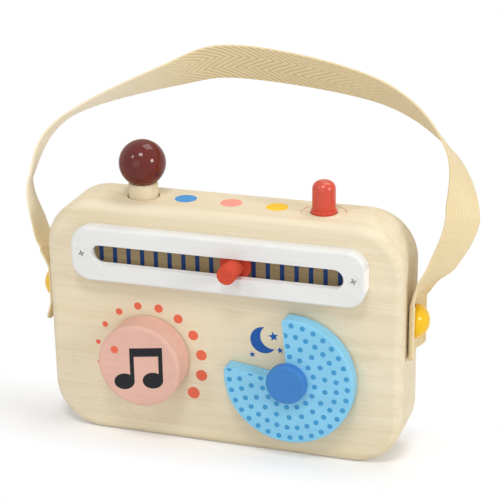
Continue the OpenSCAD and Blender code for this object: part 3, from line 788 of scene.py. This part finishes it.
def webbingFinish(name, ribDepth, plainDepth, paler, paintedSheenShare, yarns, picks):
    # herringbone ribs, which turn back at each band across the width, over a plain weave of yarns and picks
    finish, tree, shader = newFinish(name)
    uv = addNode(tree, "ShaderNodeUVMap", uv_map="webbing")
    split = addNode(tree, "ShaderNodeSeparateXYZ")
    tree.links.new(uv.outputs["UV"], split.inputs["Vector"])
    u, v = split.outputs["X"], split.outputs["Y"]
    zigzag = mathNode(tree, "PINGPONG", mathNode(tree, "MULTIPLY", u, weave["bands"]), 1.0)
    slant = mathNode(tree, "MULTIPLY", zigzag, weave["slant"])
    phase = mathNode(tree, "ADD", mathNode(tree, "MULTIPLY", v, weave["ribs"]), slant)
    rib = mathNode(tree, "SINE", mathNode(tree, "MULTIPLY", phase, 2 * math.pi))
    calm = spread(tree, v, 1.0, 0.0, *weave["leftFade"])
    rib = mathNode(tree, "MULTIPLY", rib, spread(tree, v, weave["worn"], 1.0, *weave["rightFade"]))
    rib = mathNode(tree, "MULTIPLY", rib, calm)
    yarn = mathNode(tree, "SINE", mathNode(tree, "MULTIPLY", u, yarns * 2 * math.pi))
    pick = mathNode(tree, "SINE", mathNode(tree, "MULTIPLY", v, picks * 2 * math.pi))
    knot = mathNode(tree, "MULTIPLY", yarn, spread(tree, pick, *weave["pickSpan"], -1.0, 1.0))
    plain = mathNode(tree, "MULTIPLY", knot, plainDepth)
    fuzz = spread(tree, objectNoise(tree, *weave["fuzz"]), -weave["fuzzDepth"], weave["fuzzDepth"])
    height = mathNode(tree, "ADD", mathNode(tree, "MULTIPLY", rib, ribDepth), plain)
    height = mathNode(tree, "ADD", height, fuzz)
    height = mathNode(tree, "MULTIPLY", height, spread(tree, calm, weave["calmest"], 1.0, 0.0, 1.0))
    # painted shade: the colour follows the weave's height, darkest in its hollows
    amount = spread(tree, height, weave["low"] - paler, weave["high"] - paler, *weave["heightSpan"])
    wash = spread(tree, objectNoise(tree, *weave["wash"]), *weave["washTone"])
    amount = mathNode(tree, "ADD", amount, wash)
    colour = mixColours(tree, amount, tint(*weave["light"]), tint(*weave["dark"]))
    # painted sheen: where the loop's left part is seen edge-on, the colour is mixed towards a pale cream, by
    # a share that each face sets
    paintedSheenAmount = mathNode(tree, "MULTIPLY", spread(tree, calm, paintedSheenShare, 0.0, 0.0, 1.0),
                     spread(tree, v, 1.0, 0.0, *weave["paintedSheenGone"]))
    colour = mixColours(tree, paintedSheenAmount, colour, tint(*weave["paintedSheenColour"]))
    tree.links.new(colour, shader.inputs["Base Color"])
    shader.inputs["Roughness"].default_value = weave["rough"]
    shader.inputs["Specular IOR Level"].default_value = 0.0
    shader.inputs["Sheen Weight"].default_value = weave["sheen"]
    shader.inputs["Sheen Roughness"].default_value = weave["sheenRough"]
    addBump(tree, shader, height, *weave["bump"])
    return finish


makeStrap(*[webbingFinish(name, **settings) for name, settings in webbingFaces.items()])
print("strap made")


# Floor, light and camera

studio = {
    "floor": 4.0, "floorColour": 0.86, "glow": 0.14, "sky": 0.42,
    # the shadow lies in front of the block; beyond this reach along and across it the floor turns plain white
    "shadowReach": (0.13, 0.022), "shadowAhead": 0.25, "white": 2.0,
    # place, size and power of each lamp
    "boxes": (((0.17, -1.0, 1.75), 0.5, 10.5), ((-1.12, -1.31, 1.47), 0.4, 4.3),
              ((1.95, -0.6, 0.85), 0.5, 13.8), ((0.3, 0.6, 1.55), 0.8, 6.6), ((-0.3, -1.7, 0.5), 1.1, 2.8)),
    "aim": (0, 0, 0.09),
}


def seenDirectly(tree):
    # 1 for what the camera sees, straight or in a mirror or through glass
    ray = addNode(tree, "ShaderNodeLightPath")
    seen = mathNode(tree, "MAXIMUM", ray.outputs["Is Camera Ray"], ray.outputs["Is Glossy Ray"])
    return mathNode(tree, "MAXIMUM", seen, ray.outputs["Is Transmission Ray"])


def floorFinish():
    # pale floor that the camera sees as white paper, with the object's shadow on it
    finish, tree, shader = newFinish("pale_floor")
    finish.cycles.emission_sampling = "NONE"   # it glows only for the camera and its mirrors
    tree.nodes.remove(shader)
    seen = seenDirectly(tree)
    matte = addNode(tree, "ShaderNodeBsdfDiffuse", {"Color": (studio["floorColour"],) * 3 + (1,)})
    glow = addNode(tree, "ShaderNodeEmission", {"Color": (1, 1, 1, 1)})
    tree.links.new(mathNode(tree, "MULTIPLY", seen, studio["glow"]), glow.inputs["Strength"])
    near = addNode(tree, "ShaderNodeAddShader")
    tree.links.new(matte.outputs[0], near.inputs[0])
    tree.links.new(glow.outputs[0], near.inputs[1])
    white = addNode(tree, "ShaderNodeEmission", {"Color": (1, 1, 1, 1), "Strength": 1.0})
    coords = addNode(tree, "ShaderNodeTexCoord")
    reach = addNode(tree, "ShaderNodeMapping", {"Scale": [1 / r for r in studio["shadowReach"]] + [1],
                                                "Location": (0, studio["shadowAhead"], 0)})
    far = addNode(tree, "ShaderNodeVectorMath", operation="LENGTH")
    tree.links.new(coords.outputs["Object"], reach.inputs["Vector"])
    tree.links.new(reach.outputs["Vector"], far.inputs[0])
    fade = spread(tree, far.outputs["Value"], 0.0, 1.0, 1.0, studio["white"])
    both = addNode(tree, "ShaderNodeMixShader")
    tree.links.new(mathNode(tree, "MULTIPLY", fade, seen), both.inputs["Fac"])
    tree.links.new(near.outputs[0], both.inputs[1])
    tree.links.new(white.outputs[0], both.inputs[2])
    tree.links.new(both.outputs[0], tree.nodes["Material Output"].inputs["Surface"])
    return finish


bm = bmesh.new()
bmesh.ops.create_grid(bm, x_segments=2, y_segments=2, size=studio["floor"])
floorMesh = bpy.data.meshes.new("floor")
bm.to_mesh(floorMesh)
bm.free()
floorMesh.materials.append(floorFinish())
floor = bpy.data.objects.new("floor", floorMesh)
scene.collection.objects.link(floor)

world = bpy.data.worlds.new("studio")
scene.world = world
world.use_nodes = True
tree = world.node_tree
backdrop = tree.nodes["Background"]
backdrop.inputs["Color"].default_value = (1, 1, 1, 1)
brightness = spread(tree, seenDirectly(tree), studio["sky"], 1.0, 0.0, 1.0)
tree.links.new(brightness, backdrop.inputs["Strength"])

for k, (place, size, power) in enumerate(studio["boxes"]):
    lamp = bpy.data.lights.new("softbox_%d" % k, "AREA")
    lamp.shape = "SQUARE"
    lamp.size = size
    lamp.energy = power
    box = bpy.data.objects.new("softbox_%d" % k, lamp)
    box.location = place
    box.rotation_mode = "QUATERNION"
    box.rotation_quaternion = (Vector(studio["aim"]) - Vector(place)).to_track_quat("-Z", "Y")
    scene.collection.objects.link(box)

shot = {"azimuth": 18.396, "elevation": 20.916, "roll": -0.969, "away": 0.891277,
        "aim": (0.011183, 0.0, 0.109428), "lens": 119.57, "sensor": 36, "clipStart": 0.05}
az, el, roll = (math.radians(shot[k]) for k in ("azimuth", "elevation", "roll"))
back = Vector((math.sin(az) * math.cos(el), -math.cos(az) * math.cos(el), math.sin(el)))
right = Vector((math.cos(az), math.sin(az), 0))
up = back.cross(right)
across = math.cos(roll) * right + math.sin(roll) * up
upright = -math.sin(roll) * right + math.cos(roll) * up
eye = bpy.data.cameras.new("photo_camera")
eye.sensor_width = shot["sensor"]
eye.lens = shot["lens"]
eye.clip_start = shot["clipStart"]
camera = bpy.data.objects.new("photo_camera", eye)
scene.collection.objects.link(camera)
turned = Matrix((across, upright, back)).transposed().to_4x4()
camera.matrix_world = Matrix.Translation(Vector(shot["aim"]) + back * shot["away"]) @ turned
scene.camera = camera
scene.view_settings.view_transform = "Standard"
print("studio set")
